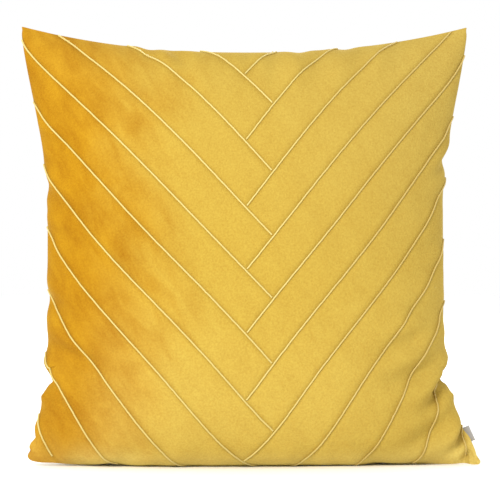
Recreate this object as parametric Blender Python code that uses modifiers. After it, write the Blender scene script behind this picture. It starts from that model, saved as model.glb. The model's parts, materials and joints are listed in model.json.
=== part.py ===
"""Throw pillow: a square velvet cover with a herringbone of sewn-on cords, its back zip, its care label
and the stuffed insert inside it. The pillow stands on its lower edge and leans back a little.

Metres, +Z up, the front faces -Y. The origin is on the floor, in the middle of the flat that it rests on.
"""

import math

import bmesh
import bpy
from mathutils import Matrix, Vector

# The cover, as cut and as it stands
CUT_SIDE = 0.450  # side of the flat square between its seams
HALF_WIDTH = 0.189  # at the waist of the side seams
EAR_REACH = 0.0275  # how far the top corners stand out past the waist
LOW_REACH = (0.0220, 0.0310)  # how far the lower left and the lower right corner do
EAR_SPAN = (0.36, 1.12)  # where the top corners begin and end their reach, as shares of the way up
LOW_START = 0.36  # where the lower ones begin theirs, as a share of the way down
TOP_HEIGHT = 0.392  # middle of the top seam
EAR_RISE = 0.025  # the top corners above the middle of the top seam
BELLY_HEIGHT = 0.150  # where the pillow is thickest
FRONT_DEPTH = 0.072
BACK_DEPTH = 0.066
LEAN = math.tan(math.radians(5))
REST_CENTRE = 0.012  # the middle of the resting flat, behind the bottom seam
FLOOR_PRESS = 0.0012  # how much of the round lower edge is pressed flat
VELVET = 0.0016
SEAM_GAP = 0.0003

# Roundness of the section on each side of the belly, and of the sides seen from above
FRONT_LOW_POWER = 2.6
FRONT_TOP_POWER = 2.2
BACK_LOW_POWER = 6.0
BACK_TOP_POWER = 2.2
SIDE_SAG = 0.42
SIDE_POWER = 5.0
ZIP_SIDE_POWER = 13.0  # added beside the zip, whose tapes hold the back to one even arc
ZIP_BAND = 0.045
LOW_POWER = 1.6
FRONT_EASE = 0.10  # how much more of its cut length the front takes up in puckers near its edges

# Herringbone of cords, in the flat of the front panel
CORD_RADIUS = 0.0011
CORD_PITCH = 0.06377  # between neighbours, up the panel
CORD_CLEAR = 0.0010
LEFT_SLOPE = 0.971
RIGHT_SLOPE = 1.167
SPINE_OFFSET = 0.0103  # the herringbone's middle, to the right of the panel's
SPINE_TILT = math.radians(-0.35)
LEFT_TOP = 0.2122  # where the fifth left cord meets the left seam
LEFT_COUNT = 12
RIGHT_COUNT = 11
CORD_SEAM_MARGIN = 0.005
CORD_FLOOR_MARGIN = 0.026
CORD_END_GAP = 0.0045  # a cord stops this far short of the one it butts against
CORD_STEP = 0.024

# Zip across the lower back
ZIP_HEIGHT = 0.068
ZIP_HALF = 0.142
ZIP_SLOT = 0.0046  # half the slot between the two back panels
SLOT_RUN_OUT = 0.030  # past the zip's ends the slot has closed
TAPE_WIDTH = 0.012
TAPE_THICK = 0.00055
TAPE_PAST_END = 0.006
COIL_WIDTH = 0.002
COIL_THICK = 0.002
COIL_SPLIT = 0.0008  # half the gap between the coils
CHAIN_INSET = 0.0014  # the chain's middle, inside the velvet's outer face
STOP_LENGTH = 0.0022
STOP_REACH = 0.0012  # past the gap between the coils
SLIDER_REST = 0.1365  # along the arc from the zip's middle, closed against the top stops

# Insert
CASING = 0.0008
CASING_SCALE = Vector((0.935, 0.860, 0.950))
FILLING_SCALE = Vector((0.885, 0.780, 0.905))
INSERT_CENTRE = Vector((0, 0, 0.160))

# Care label, in the right-hand side seam
LABEL_HEIGHT = 0.026
LABEL_WIDTH = 0.015
LABEL_REACH = 0.0075
LABEL_THICK = 0.0009
LABEL_GAP = 0.0006

DENSE = 240  # points of a section curve before it is divided evenly


def material(name, color, roughness, metallic=0.0):
    """A Principled material."""
    made = bpy.data.materials.new(name)
    made.use_nodes = True
    shader = made.node_tree.nodes["Principled BSDF"]
    shader.inputs["Base Color"].default_value = (*color, 1)
    shader.inputs["Roughness"].default_value = roughness
    shader.inputs["Metallic"].default_value = metallic
    made.diffuse_color = (*color, 1)
    return made


def signed_power(value, power):
    """value raised to power, keeping its sign."""
    return math.copysign(abs(value) ** power, value)


class EvenCurve:
    """A curve through dense points, read by the share of its length."""

    def __init__(self, points):
        self.points = points
        self.along = [0.0]
        for a, b in zip(points, points[1:]):
            self.along.append(self.along[-1] + math.dist(a, b))
        self.length = self.along[-1]

    def at(self, share):
        """The point at this share of the length."""
        wanted = min(max(share, 0.0), 1.0) * self.length
        for k in range(1, len(self.along)):
            if self.along[k] >= wanted:
                span = self.along[k] - self.along[k - 1]
                part = (wanted - self.along[k - 1]) / span if span > 0 else 0
                return tuple(a + (b - a) * part for a, b in zip(self.points[k - 1], self.points[k]))
        return self.points[-1]

    def share_where(self, axis, value):
        """The share of the length at which a coordinate that only grows first reaches value."""
        for k in range(1, len(self.points)):
            low, high = self.points[k - 1][axis], self.points[k][axis]
            if high >= value and self.along[k] > 0:
                part = (value - low) / (high - low) if high > low else 0
                return (self.along[k - 1] + (self.along[k] - self.along[k - 1]) * max(part, 0)) / self.length
        return 1.0


def upright_section(depth, low_power, top_power):
    """The section from the bottom seam over the belly to the top seam, as (depth, height)."""
    points = []
    for k in range(DENSE + 1):
        turn = math.pi * (k / DENSE - 0.5)
        power = low_power if turn < 0 else top_power
        reach = BELLY_HEIGHT if turn < 0 else TOP_HEIGHT + FLOOR_PRESS - BELLY_HEIGHT
        out = depth * max(math.cos(turn), 0.0) ** (2 / power)
        height = BELLY_HEIGHT + reach * signed_power(math.sin(turn), 2 / power)
        points.append((out, max(height - FLOOR_PRESS, 0.0)))
    return EvenCurve(points)


def level_section():
    """Half of a level section, from the middle out to the side seam, as (width, depth)."""
    points = []
    for k in range(DENSE + 1):
        across = math.sin(0.5 * math.pi * k / DENSE)
        points.append((across * HALF_WIDTH, FRONT_DEPTH * side_fall(across, SIDE_POWER)))
    return EvenCurve(points)


def side_fall(across, power):
    """How deep the pillow is at a share of its half width, against its middle."""
    return (1 - SIDE_SAG * across**2) * math.sqrt(max(1 - abs(across) ** power, 0.0))


FRONT_SECTION = upright_section(FRONT_DEPTH, FRONT_LOW_POWER, FRONT_TOP_POWER)
BACK_SECTION = upright_section(BACK_DEPTH, BACK_LOW_POWER, BACK_TOP_POWER)
LEVEL = level_section()
ZIP_SHARE = BACK_SECTION.share_where(1, ZIP_HEIGHT)


def half_width(height, right=False):
    """The distance from the middle to a side seam at this height."""
    if height < BELLY_HEIGHT:
        share = ((BELLY_HEIGHT - height) / BELLY_HEIGHT - LOW_START) / (1 - LOW_START)
        return HALF_WIDTH + LOW_REACH[right] * min(max(share, 0), 1) ** LOW_POWER
    share = (height - BELLY_HEIGHT) / (TOP_HEIGHT + EAR_RISE - BELLY_HEIGHT)
    share = min(max((share - EAR_SPAN[0]) / (EAR_SPAN[1] - EAR_SPAN[0]), 0), 1)
    return HALF_WIDTH + EAR_REACH * share**2 * (3 - 2 * share)


def middle_share(level, up):
    """How far a row follows the pillow's middle rather than its side seams."""
    return 1 - level ** (4 - 1.7 * min(max((up - 0.5) / 0.45, 0), 1))


def seam_height(share, zip_side):
    """Height of the side seam for a share of the way up a panel. The back's rows are level at the zip."""
    top = TOP_HEIGHT + EAR_RISE
    if not zip_side:
        return share * top
    if share < ZIP_SHARE:
        return ZIP_HEIGHT * share / ZIP_SHARE
    return ZIP_HEIGHT + (top - ZIP_HEIGHT) * (share - ZIP_SHARE) / (1 - ZIP_SHARE)


def stand(point):
    """A point of the upright pillow, leaned back over the resting flat."""
    return Vector((point.x, point.y + LEAN * point.z - REST_CENTRE, point.z))


def upright_point(back, across, up, zip_rows):
    """A point of the cover's outer face before it leans: across from -1 to 1, and up from 0 to 1."""
    section = BACK_SECTION if back else FRONT_SECTION
    share = up
    if not back:
        share += FRONT_EASE * math.sin(2 * math.pi * up) / (2 * math.pi)
        across -= FRONT_EASE * math.sin(math.pi * across) / math.pi * (1 - (2 * up - 1) ** 8)
    depth, middle_height = section.at(share)
    level = LEVEL.at(abs(across))[0] / HALF_WIDTH
    middle = middle_share(level, up)
    height = middle_height * middle + seam_height(up, zip_rows) * (1 - middle)
    power = SIDE_POWER
    if back:
        power += ZIP_SIDE_POWER * math.exp(-(((height - ZIP_HEIGHT) / ZIP_BAND) ** 2))
    out = depth * side_fall(level, power)
    x = math.copysign(level, across) * half_width(height, across > 0)
    return Vector((x, out if back else -out, height))


def cover_point(back, across, up):
    """A point of the standing cover's outer face."""
    return stand(upright_point(back, across, up, back))


def inner_point(back, across, up, scale, zip_rows=False):
    """A point of the upright insert, which is the cover's form scaled about a point inside it."""
    point = upright_point(back, across, up, zip_rows) - INSERT_CENTRE
    return Vector(a * b for a, b in zip(point, scale)) + INSERT_CENTRE


def new_object(name, mesh, collection, look):
    """A named object in the pillow's collection."""
    made = bpy.data.objects.new(name, mesh)
    mesh.materials.clear()
    mesh.materials.append(look)
    collection.objects.link(made)
    return made


def taken(primitive, name, collection, look):
    """The object a primitive operator has just made, renamed and moved to the collection."""
    made = primitive
    for holder in list(made.users_collection):
        holder.objects.unlink(made)
    collection.objects.link(made)
    made.name = name
    made.data.name = name
    made.data.materials.clear()
    made.data.materials.append(look)
    return made


def shaped_grid(name, columns, rows, place, collection, look):
    """A grid whose points, as shares from -1 to 1 across and from 0 to 1 up, are placed by a function."""
    bpy.ops.mesh.primitive_grid_add(x_subdivisions=columns, y_subdivisions=rows, size=2)
    made = taken(bpy.context.object, name, collection, look)
    for vertex in made.data.vertices:
        vertex.co = place(vertex.co.x, (vertex.co.y + 1) / 2)
    made.data.shade_smooth()
    return made


def thicken(obj, thickness, outwards=-1.0):
    """Gives an open surface its wall."""
    wall = obj.modifiers.new("wall", "SOLIDIFY")
    wall.thickness = thickness
    wall.offset = outwards
    return obj


def applied(obj):
    """Turns an object's modifiers into its mesh."""
    graph = bpy.context.evaluated_depsgraph_get()
    shape = bpy.data.meshes.new_from_object(obj.evaluated_get(graph))
    obj.modifiers.clear()
    obj.data = shape
    return obj


def stood_panel(obj, back, gap=SEAM_GAP):
    """Keeps an upright panel on its own side of the seam plane and above the floor, and leans it."""
    for vertex in applied(obj).data.vertices:
        point = vertex.co
        point.y = max(point.y, gap / 2) if back else min(point.y, -gap / 2)
        point.z = max(point.z, 0.0)
        vertex.co = stand(point)
    return obj


def slot_share(across):
    """Half the zip slot, as a share of the way up the back. It closes to a seam past the zip's ends."""
    level = LEVEL.at(abs(across))[0] / HALF_WIDTH
    middle = 1 - level**4
    rise = BACK_SECTION.length * middle + ZIP_HEIGHT / ZIP_SHARE * (1 - middle)
    past = level * half_width(ZIP_HEIGHT) - ZIP_HALF
    opened = min(max((SLOT_RUN_OUT - past) / (SLOT_RUN_OUT / 2), 0), 1)
    return (SEAM_GAP + (ZIP_SLOT - SEAM_GAP) * opened) / rise


def build_cover(collection, velvet):
    """The front panel and the two back panels, with the zip's slot between them."""

    def front(x, y):
        return upright_point(False, x, y, False)

    def lower(x, y):
        return upright_point(True, -x, y * (ZIP_SHARE - slot_share(x)), True)

    def upper(x, y):
        start = ZIP_SHARE + slot_share(x)
        return upright_point(True, -x, start + y * (1 - start), True)

    for name, rows, place, back in (
        ("front_panel", 24, front, False),
        ("back_panel_lower", 10, lower, True),
        ("back_panel_upper", 16, upper, True),
    ):
        panel = shaped_grid(name, 28 if back else 22, rows, place, collection, velvet)
        stood_panel(thicken(panel, VELVET), back)


def build_insert(collection, ticking, fibre):
    """The insert's two casing panels, and the fibre filling inside them."""
    for name, back in (("insert_casing_front", False), ("insert_casing_back", True)):
        side = -1 if back else 1
        casing = shaped_grid(
            name, 16, 16, lambda x, y: inner_point(back, -side * x, y, CASING_SCALE, back),
            collection, ticking,
        )
        stood_panel(thicken(casing, CASING), back)
    filling = shaped_grid(
        "filling", 14, 14, lambda x, y: inner_point(False, x, y, FILLING_SCALE), collection, fibre
    )
    rear = shaped_grid(
        "filling_rear", 14, 14, lambda x, y: inner_point(True, -x, y, FILLING_SCALE), collection, fibre
    )
    stood_panel(filling, False, 0)
    stood_panel(rear, True, 0)
    form = bmesh.new()
    form.from_mesh(filling.data)
    form.from_mesh(rear.data)
    bmesh.ops.remove_doubles(form, verts=form.verts, dist=0.00005)
    bmesh.ops.recalc_face_normals(form, faces=form.faces)
    form.to_mesh(filling.data)
    form.free()
    bpy.data.objects.remove(rear)


def spine_frame(u, v):
    """A point of the flat panel in the herringbone's own axes."""
    c, s = math.cos(SPINE_TILT), math.sin(SPINE_TILT)
    return (u - SPINE_OFFSET) * c + v * s, v * c - (u - SPINE_OFFSET) * s


def from_spine(a, b):
    """A point in the herringbone's own axes, on the flat panel."""
    c, s = math.cos(SPINE_TILT), math.sin(SPINE_TILT)
    return SPINE_OFFSET + a * c - b * s, a * s + b * c


def herringbone():
    """Each cord's name and its two ends on the flat panel, as (name, start, end), from the spine outwards."""
    zig = CORD_PITCH / (2 * (LEFT_SLOPE + RIGHT_SLOPE))
    start_u, start_v = spine_frame(-CUT_SIDE / 2, LEFT_TOP)
    fifth = start_v + LEFT_SLOPE * start_u
    cords = []
    for family, side, slope, count, shift in (
        ("left", -1, LEFT_SLOPE, LEFT_COUNT, 0),
        ("right", 1, RIGHT_SLOPE, RIGHT_COUNT, -CORD_PITCH / 2),
    ):
        near = zig - CORD_END_GAP / math.hypot(1, slope)
        far = 1.5 * CUT_SIDE
        for k in range(count):
            base = fifth + (4 - k) * CORD_PITCH + shift
            start = from_spine(-side * near, base - slope * near)
            cords.append((f"cord_{family}_{k + 1:02d}", start, from_spine(side * far, base + slope * far)))
    return cords


def clipped(start, end):
    """The stretch of a line that lies on the panel, inside its margins, or None."""
    edge = CUT_SIDE / 2 - CORD_SEAM_MARGIN
    lowest = -CUT_SIDE / 2 + CORD_FLOOR_MARGIN
    bounds = ((0, -edge, edge), (1, lowest, edge))
    first, last = 0.0, 1.0
    for axis, low, high in bounds:
        run = end[axis] - start[axis]
        limits = sorted(((low - start[axis]) / run, (high - start[axis]) / run))
        first, last = max(first, limits[0]), min(last, limits[1])
    if last <= first:
        return None
    along = [tuple(a + (b - a) * t for a, b in zip(start, end)) for t in (first, last)]
    return along


def flat_to_shares(u, v):
    """A point of the flat panel as shares across and up the standing one."""
    return 2 * u / CUT_SIDE, v / CUT_SIDE + 0.5


def on_front(u, v, lift):
    """A point this far in front of the front panel."""
    across, up = flat_to_shares(u, v)
    step = 0.004
    right = cover_point(False, across + step, up) - cover_point(False, across - step, up)
    above = cover_point(False, across, up + step) - cover_point(False, across, up - step)
    normal = right.cross(above).normalized()
    return cover_point(False, across, up) + normal * lift


def build_cords(collection, satin):
    """One tube for each cord, lying on the front panel."""
    for name, start, end in herringbone():
        stretch = clipped(start, end)
        if not stretch:
            continue
        (u0, v0), (u1, v1) = stretch
        count = max(3, math.ceil(math.dist(*stretch) / CORD_STEP)) + 1
        line = bpy.data.curves.new(name, "CURVE")
        line.dimensions = "3D"
        line.bevel_depth = CORD_RADIUS
        line.bevel_resolution = 1
        line.use_fill_caps = True
        spline = line.splines.new("POLY")
        spline.points.add(count - 1)
        for k, point in enumerate(spline.points):
            t = k / (count - 1)
            place = on_front(u0 + (u1 - u0) * t, v0 + (v1 - v0) * t, CORD_RADIUS + CORD_CLEAR)
            point.co = (*place, 1)
        new_object(name, line, collection, satin)


def zip_depth():
    """How far behind the seam plane the back's outer face is at the zip, before it leans."""
    return BACK_SECTION.at(ZIP_SHARE)[0]


ARC_RADIUS = half_width(ZIP_HEIGHT) ** 2 / (2 * SIDE_SAG * zip_depth())
ARC_CENTRE = stand(Vector((0, zip_depth() - ARC_RADIUS, ZIP_HEIGHT)))
CHAIN_RADIUS = ARC_RADIUS - CHAIN_INSET


def arc_point(along, out, height):
    """A point by its length along the chain, its distance outside the chain's middle and its height."""
    turn = along / CHAIN_RADIUS
    radius = CHAIN_RADIUS + out
    return ARC_CENTRE + Vector((-radius * math.sin(turn), radius * math.cos(turn) + LEAN * height, height))


def arc_bar(name, half_length, out, thickness, low, high, steps, collection, look):
    """A bar bent to the zip's arc: its inner face is at out, and it spans low to high."""

    def place(x, y):
        return arc_point(x * half_length, out, low + y * (high - low))

    bar = shaped_grid(name, steps, 1, place, collection, look)
    bar.data.shade_flat()
    thicken(bar, thickness, 1.0)
    return bar


def box(name, low, high, collection, look, parent=None, lean=0.0):
    """A box between two corners, in its parent's axes. On the zip its upright faces lean with the cover."""
    bpy.ops.mesh.primitive_cube_add(size=1)
    made = taken(bpy.context.object, name, collection, look)
    low, high = Vector(low), Vector(high)
    for vertex in made.data.vertices:
        vertex.co = Vector(low[k] + (vertex.co[k] + 0.5) * (high[k] - low[k]) for k in range(3))
        vertex.co.y += lean * vertex.co.z
    made.parent = parent
    return made


def united(target, pieces):
    """Joins overlapping pieces into target, and removes them."""
    for piece in pieces:
        joint = target.modifiers.new(piece.name, "BOOLEAN")
        joint.operation = "UNION"
        joint.object = piece
    applied(target)
    for piece in pieces:
        bpy.data.objects.remove(piece)
    return target


def chain_empty(name, along, collection):
    """An empty on the arc's own axis, turned so that its +Y passes through a place along the chain."""
    made = bpy.data.objects.new(name, None)
    made.location = ARC_CENTRE
    made.rotation_euler = (0, 0, along / CHAIN_RADIUS)
    collection.objects.link(made)
    return made


def build_zip_track(collection, tape, nylon, brass):
    """The two tapes, the two coils and the stops at the ends of the chain."""
    for name, sign in (("upper", 1), ("lower", -1)):
        edges = sorted((sign * COIL_SPLIT, sign * (COIL_SPLIT + TAPE_WIDTH)))
        arc_bar(
            f"zip_tape_{name}", ZIP_HALF + TAPE_PAST_END, -COIL_THICK / 2 - TAPE_THICK - SEAM_GAP / 2,
            TAPE_THICK, *edges, 20, collection, tape,
        )
        edges = sorted((sign * COIL_SPLIT, sign * (COIL_SPLIT + COIL_WIDTH)))
        arc_bar(f"zip_coil_{name}", ZIP_HALF, -COIL_THICK / 2 + SEAM_GAP / 2, COIL_THICK - SEAM_GAP,
                *edges, 20, collection, nylon)
    width = COIL_SPLIT + STOP_REACH
    for name, side, low, high in (
        ("zip_bottom_stop", 1, -width, width),
        ("zip_top_stop_upper", -1, COIL_SPLIT, width),
        ("zip_top_stop_lower", -1, -width, -COIL_SPLIT),
    ):
        middle = ZIP_HALF + SEAM_GAP + STOP_LENGTH / 2
        holder = chain_empty(f"{name}_place", -side * middle, collection)
        near = CHAIN_RADIUS - COIL_THICK / 2 + SEAM_GAP / 2
        box(name, (-STOP_LENGTH / 2, near, low), (STOP_LENGTH / 2, near + COIL_THICK, high),
            collection, brass, holder, LEAN)


def build_slider(collection, brass):
    """The slider: two plates joined by a post between the coils, side flanges and a crown over the top."""
    holder = chain_empty("slider_place", SLIDER_REST, collection)
    r = CHAIN_RADIUS
    length, half = 0.0050, 0.0038
    plate = 0.0010
    outer, inner = 0.0013, -0.0029
    crown_low, crown_bar = 0.0045, 0.0010
    leg = 0.0012

    def block(name, x, y, z):
        low, high = zip(x, y, z)
        return box(name, (low[0], r + low[1], low[2]), (high[0], r + high[1], high[2]),
                   collection, brass, holder, LEAN)

    body = block("zip_slider", (-length, length), (outer, outer + plate), (-half, half))
    crown_span, post_half, flange = 0.0046, 0.00045, 0.0007
    pieces = [
        block("inner_plate", (-length, length), (inner, inner + plate), (-half, half)),
        block("post", (-0.0044, -0.0020), (inner + plate / 2, outer + plate / 2), (-post_half, post_half)),
        block("crown_bar", (-crown_span, crown_span), (crown_low, crown_low + crown_bar),
              (-crown_bar / 2, crown_bar / 2)),
    ]
    step = 0.0001
    for side in (-1, 1):
        rail = sorted((side * (half - step), side * (half - flange)))
        pieces.append(block("flange", (step - length, length - step), (-0.0008, outer + plate / 2), rail))
        foot = sorted((side * (crown_span - step), side * (crown_span - leg)))
        pieces.append(block("crown_leg", foot, (outer + plate / 2, crown_low + crown_bar / 2),
                            (step - crown_bar / 2, crown_bar / 2 - step)))
    united(body, pieces)
    return r + crown_low + crown_bar / 2


def build_pull(collection, brass, bar_radius):
    """The ring that hangs on the slider's crown, and the tab that hangs on the ring."""
    ring_major, wire = 0.0019, 0.00045
    hang = ring_major - wire - 0.0005 - SEAM_GAP
    ring_place = chain_empty("pull_ring_place", SLIDER_REST, collection)
    bpy.ops.mesh.primitive_torus_add(
        major_radius=ring_major, minor_radius=wire, major_segments=20, minor_segments=8,
        location=(0, bar_radius, -hang), rotation=(0, math.pi / 2, 0),
    )
    ring = taken(bpy.context.object, "pull_ring", collection, brass)
    ring.parent = ring_place
    ring.data.shade_smooth()

    pivot = -hang - ring_major
    hole, head, thick = 0.00095, 0.0016, 0.0010
    centre = pivot - (hole - wire - 0.0002)
    tip_half, tip_drop, length = 0.0028, 0.0205, 0.0235
    outline = bpy.data.curves.new("pull_tab", "CURVE")
    outline.dimensions = "2D"
    outline.fill_mode = "BOTH"
    outline.extrude = thick / 2
    rim = [(head * math.sin(a), head * math.cos(a)) for a in
           (math.radians(-120 + 240 * k / 10) for k in range(11))]
    rim += [(tip_half, -tip_drop)]
    rim += [(tip_half * math.cos(a), -tip_drop - (length - tip_drop) * math.sin(a)) for a in
            (math.radians(180 * k / 8) for k in range(1, 8))]
    rim += [(-tip_half, -tip_drop)]
    for loop in (rim, [(hole * math.cos(2 * math.pi * k / 14), hole * math.sin(2 * math.pi * k / 14))
                       for k in range(14)]):
        spline = outline.splines.new("POLY")
        spline.points.add(len(loop) - 1)
        spline.use_cyclic_u = True
        for point, (x, y) in zip(spline.points, loop):
            point.co = (x, y, 0, 1)
    tab = new_object("pull_tab", outline, collection, brass)
    tab.parent = chain_empty("pull_tab_place", SLIDER_REST, collection)
    tab.location = (0, bar_radius, centre)
    tab.rotation_euler = (math.pi / 2, 0, 0)


def build_label(collection, satin_white):
    """The care label, sewn into the right-hand seam and standing out from it along the seam's own slope."""
    low, high = (
        stand(Vector((half_width(z, True), 0, z)))
        for z in (LABEL_HEIGHT - LABEL_WIDTH / 2, LABEL_HEIGHT + LABEL_WIDTH / 2)
    )
    up = (high - low).normalized()
    out = Vector((1, 0, 0))
    out = (out - up * out.dot(up)).normalized()
    label = box("care_label", (0, -LABEL_THICK / 2, -LABEL_WIDTH / 2),
                (LABEL_REACH, LABEL_THICK / 2, LABEL_WIDTH / 2), collection, satin_white)
    axes = Matrix((out, up.cross(out), up)).transposed().to_4x4()
    label.matrix_world = Matrix.Translation((low + high) / 2 + out * LABEL_GAP) @ axes


def main():
    """Clears the scene and builds the pillow."""
    for obj in list(bpy.data.objects):
        bpy.data.objects.remove(obj, do_unlink=True)
    pillow = bpy.data.collections.new("throw_pillow")
    bpy.context.scene.collection.children.link(pillow)
    velvet = material("mustard_velvet", (0.74, 0.48, 0.07), 0.85)
    satin = material("pale_gold_cord", (0.90, 0.72, 0.24), 0.45)
    ticking = material("white_ticking", (0.86, 0.85, 0.82), 0.9)
    fibre = material("fibre_filling", (0.93, 0.93, 0.92), 1.0)
    tape = material("mustard_tape", (0.66, 0.42, 0.08), 0.8)
    nylon = material("nylon_coil", (0.70, 0.46, 0.10), 0.45)
    brass = material("old_brass", (0.50, 0.36, 0.16), 0.35, 1.0)
    satin_white = material("white_satin_label", (0.88, 0.87, 0.84), 0.5)
    build_cover(pillow, velvet)
    build_insert(pillow, ticking, fibre)
    build_cords(pillow, satin)
    build_zip_track(pillow, tape, nylon, brass)
    bar_radius = build_slider(pillow, brass)
    build_pull(pillow, brass, bar_radius)
    build_label(pillow, satin_white)


main()
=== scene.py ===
"""Studio scene of a square velvet throw pillow with a herringbone of sewn-on cords.

The pillow stands on its lower edge and leans back a little. Its cover is a closed cloth, cut as two flat
panels and blown up by its filling. The cords, zip, label and insert are dressed around it.
"""

import json
import logging
import math
from dataclasses import dataclass, field
from enum import Enum
from typing import Iterable, Sequence, Union

import bpy
import numpy as np
from mathutils import Matrix, Vector, noise

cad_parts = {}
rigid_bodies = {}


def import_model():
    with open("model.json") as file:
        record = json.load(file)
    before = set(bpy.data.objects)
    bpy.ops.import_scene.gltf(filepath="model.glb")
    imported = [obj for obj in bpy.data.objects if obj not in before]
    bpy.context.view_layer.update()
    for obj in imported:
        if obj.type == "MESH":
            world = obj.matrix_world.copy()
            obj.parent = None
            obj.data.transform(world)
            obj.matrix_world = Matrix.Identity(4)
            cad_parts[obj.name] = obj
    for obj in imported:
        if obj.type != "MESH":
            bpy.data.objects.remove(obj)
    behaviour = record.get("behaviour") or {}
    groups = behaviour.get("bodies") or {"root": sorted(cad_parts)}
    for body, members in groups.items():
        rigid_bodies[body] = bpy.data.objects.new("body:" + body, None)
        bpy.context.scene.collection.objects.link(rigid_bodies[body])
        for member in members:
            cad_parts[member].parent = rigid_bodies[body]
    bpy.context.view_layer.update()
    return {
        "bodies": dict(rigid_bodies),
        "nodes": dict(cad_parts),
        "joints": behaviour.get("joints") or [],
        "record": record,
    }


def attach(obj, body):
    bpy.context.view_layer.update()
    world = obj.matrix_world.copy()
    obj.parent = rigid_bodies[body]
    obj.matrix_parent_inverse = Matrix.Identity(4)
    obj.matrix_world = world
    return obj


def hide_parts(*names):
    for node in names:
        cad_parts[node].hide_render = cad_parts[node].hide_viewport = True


LOG = logging.getLogger("throw_pillow")
Number = Union[int, float]
Color = tuple[float, float, float]


class Side(Enum):
    """The two faces of the cover."""

    FRONT = -1
    BACK = 1


# ---------------------------------------------------------------------------------------------------------
# Shader graphs


class Value:
    """A number socket that can be used in ordinary arithmetic."""

    def __init__(self, graph: "Graph", socket: bpy.types.NodeSocket) -> None:
        self.graph = graph
        self.socket = socket

    def _math(self, operation: str, *others: "Value | Number") -> "Value":
        return self.graph.math(operation, self, *others)

    def __add__(self, other: "Value | Number") -> "Value":
        return self._math("ADD", other)

    def __sub__(self, other: "Value | Number") -> "Value":
        return self._math("SUBTRACT", other)

    def __rsub__(self, other: Number) -> "Value":
        return self.graph.math("SUBTRACT", other, self)

    def __mul__(self, other: "Value | Number") -> "Value":
        return self._math("MULTIPLY", other)

    def __truediv__(self, other: "Value | Number") -> "Value":
        return self._math("DIVIDE", other)

    def __neg__(self) -> "Value":
        return self._math("MULTIPLY", -1.0)

    def __abs__(self) -> "Value":
        return self._math("ABSOLUTE")

    def __lt__(self, other: "Value | Number") -> "Value":
        return self._math("LESS_THAN", other)

    def __gt__(self, other: "Value | Number") -> "Value":
        return self._math("GREATER_THAN", other)

    def wrapped(self) -> "Value":
        """Returns: the part after the decimal point, always from 0 to 1."""
        return self._math("FLOORED_MODULO", 1.0)

    def least(self, other: "Value | Number") -> "Value":
        """Returns: the smaller of the two values."""
        return self._math("MINIMUM", other)

    def bell(self, width: float) -> "Value":
        """Returns: 1 at zero, falling off smoothly over width."""
        scaled = self / width
        return self.graph.math("EXPONENT", -(scaled * scaled))

    def ramp(self, low: float, high: float) -> "Value":
        """Returns: 0 below low, 1 above high and an eased step between them."""
        node = self.graph.node(
            "ShaderNodeMapRange",
            {"interpolation_type": "SMOOTHSTEP"},
            {"Value": self, "From Min": low, "From Max": high},
        )
        return Value(self.graph, node.outputs["Result"])


class Graph:
    """The node graph of one material."""

    def __init__(self, name: str) -> None:
        self.material = bpy.data.materials.new(name)
        self.material.use_nodes = True
        self.tree = self.material.node_tree
        self.tree.nodes.clear()

    def node(self, kind: str, settings: dict | None = None, inputs: dict | None = None) -> bpy.types.Node:
        """Adds a node.

        Args:
            kind: the node's type.
            settings: its properties.
            inputs: sockets, by name or index, and what each is linked to or set to.

        Returns: the node.
        """
        made = self.tree.nodes.new(kind)
        for key, value in (settings or {}).items():
            setattr(made, key, value)
        for key, value in (inputs or {}).items():
            self.feed(made.inputs[key], value)
        return made

    def feed(self, socket: bpy.types.NodeSocket, value: object) -> None:
        """Links a socket, or sets it to a plain value."""
        if isinstance(value, Value):
            self.tree.links.new(value.socket, socket)
        elif isinstance(value, bpy.types.NodeSocket):
            self.tree.links.new(value, socket)
        elif isinstance(value, tuple) and len(value) == 3 and socket.type == "RGBA":
            socket.default_value = (*value, 1.0)
        else:
            socket.default_value = value

    def math(self, operation: str, *values: "Value | Number") -> Value:
        """Returns: the result of one math operation."""
        made = self.node("ShaderNodeMath", {"operation": operation}, dict(enumerate(values)))
        return Value(self, made.outputs[0])

    def mix(self, factor: "Value | Number", first: object, second: object, blend: str = "MIX") -> object:
        """Returns: a colour socket between first and second."""
        made = self.node("ShaderNodeMix", {"data_type": "RGBA", "blend_type": blend})
        self.feed(made.inputs[0], factor)
        self.feed(made.inputs[6], first)
        self.feed(made.inputs[7], second)
        return made.outputs[2]

    def noise(self, vector: object, scale: float, detail: float = 2.0, distortion: float = 0.0) -> Value:
        """Returns: cloudy noise from 0 to 1."""
        made = self.node(
            "ShaderNodeTexNoise", {},
            {"Vector": vector, "Scale": scale, "Detail": detail, "Distortion": distortion},
        )
        return Value(self, made.outputs[0])

    def place(self) -> object:
        """Returns: the piece's own coordinates, in metres."""
        return self.node("ShaderNodeTexCoord").outputs["Object"]

    def parts(self, vector: object) -> tuple[Value, Value, Value]:
        """Returns: the three parts of a vector."""
        made = self.node("ShaderNodeSeparateXYZ", {}, {0: vector})
        return tuple(Value(self, out) for out in made.outputs)

    def bump(self, height: Value, distance: float, strength: float = 1.0, normal: object = None) -> object:
        """Returns: a normal raised by height, in distances of metres."""
        inputs = {"Height": height, "Distance": distance, "Strength": strength}
        if normal is not None:
            inputs["Normal"] = normal
        return self.node("ShaderNodeBump", {}, inputs).outputs[0]

    def finish(self, inputs: dict) -> bpy.types.Material:
        """Closes the graph with one Principled shader.

        Args:
            inputs: what its sockets are linked to or set to.

        Returns: the material.
        """
        shader = self.node("ShaderNodeBsdfPrincipled", {}, inputs)
        self.node("ShaderNodeOutputMaterial", {}, {"Surface": shader.outputs[0]})
        return self.material


# ---------------------------------------------------------------------------------------------------------
# The pattern of cords


@dataclass(frozen=True)
class Cord:
    """One cord, as a straight line on the flat panel.

    Args:
        name: the cord's name in the frame.
        start: its end at the herringbone's middle.
        end: a point beyond the panel on its line.
    """

    name: str
    start: tuple[float, float]
    end: tuple[float, float]


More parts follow.
